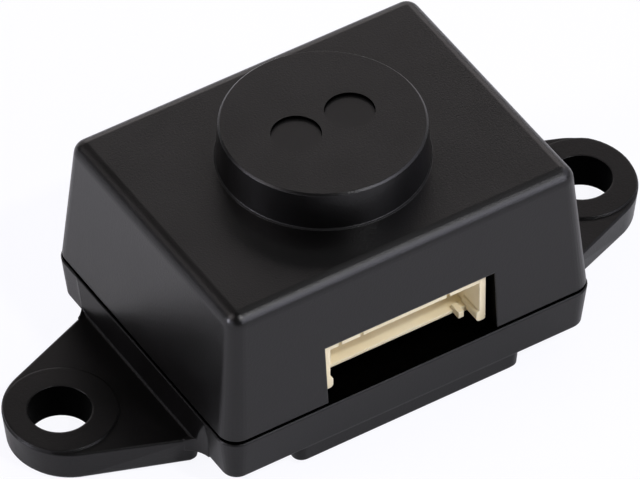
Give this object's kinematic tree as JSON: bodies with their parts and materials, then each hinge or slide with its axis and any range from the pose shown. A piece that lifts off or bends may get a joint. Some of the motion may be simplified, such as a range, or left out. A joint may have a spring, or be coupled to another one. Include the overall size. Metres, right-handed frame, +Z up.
{
  "type": "laser distance sensor",
  "caption": "Small black moulded case with a round optical disc on its roof, dark filter windows, fixing ears at both ends and a side-entry wire header in the front wall.",
  "frame": {"origin": "centre of the fixing plane: midway between the two ear holes, at the height of the ear undersides", "axes": "+X along the line through the two ear holes, +Z up out of the optical disc, -Y out of the header mouth"},
  "size_m": [0.0362, 0.0166, 0.0137],
  "materials": {
    "cover_plastic": "satin moulded",
    "base_plastic": "satin moulded",
    "window_filter": "polished infrared filter",
    "gasket_rubber": "matte",
    "board_laminate": "satin lacquer",
    "chip_body": "matte moulded",
    "sensor_port": "polished",
    "crystal_can": "satin",
    "capacitor_ceramic": "matte",
    "resistor_body": "satin",
    "header_plastic": "satin moulded",
    "tinned_metal": "tin plated",
    "screw_zinc": "zinc plated",
    "screw_black": "black plated"
  },
  "bodies": {
    "root": {"cover": "cover_plastic", "base": "base_plastic", "emitter_window": "window_filter", "receiver_window": "window_filter", "light_gasket": "gasket_rubber", "board": "board_laminate", "ranging_chip": "chip_body", "emitter_port": "sensor_port", "receiver_port": "sensor_port", "controller_chip": "chip_body", "interface_chip": "chip_body", "regulator": "chip_body", "crystal": "crystal_can", "surge_diode": "chip_body", "capacitors": "capacitor_ceramic", "resistors": "resistor_body", "header_shell": "header_plastic", "header_pins": "tinned_metal", "header_tabs": "tinned_metal", "board_screws": "screw_zinc", "case_screws": "screw_black"}
  },
  "joints": []
}
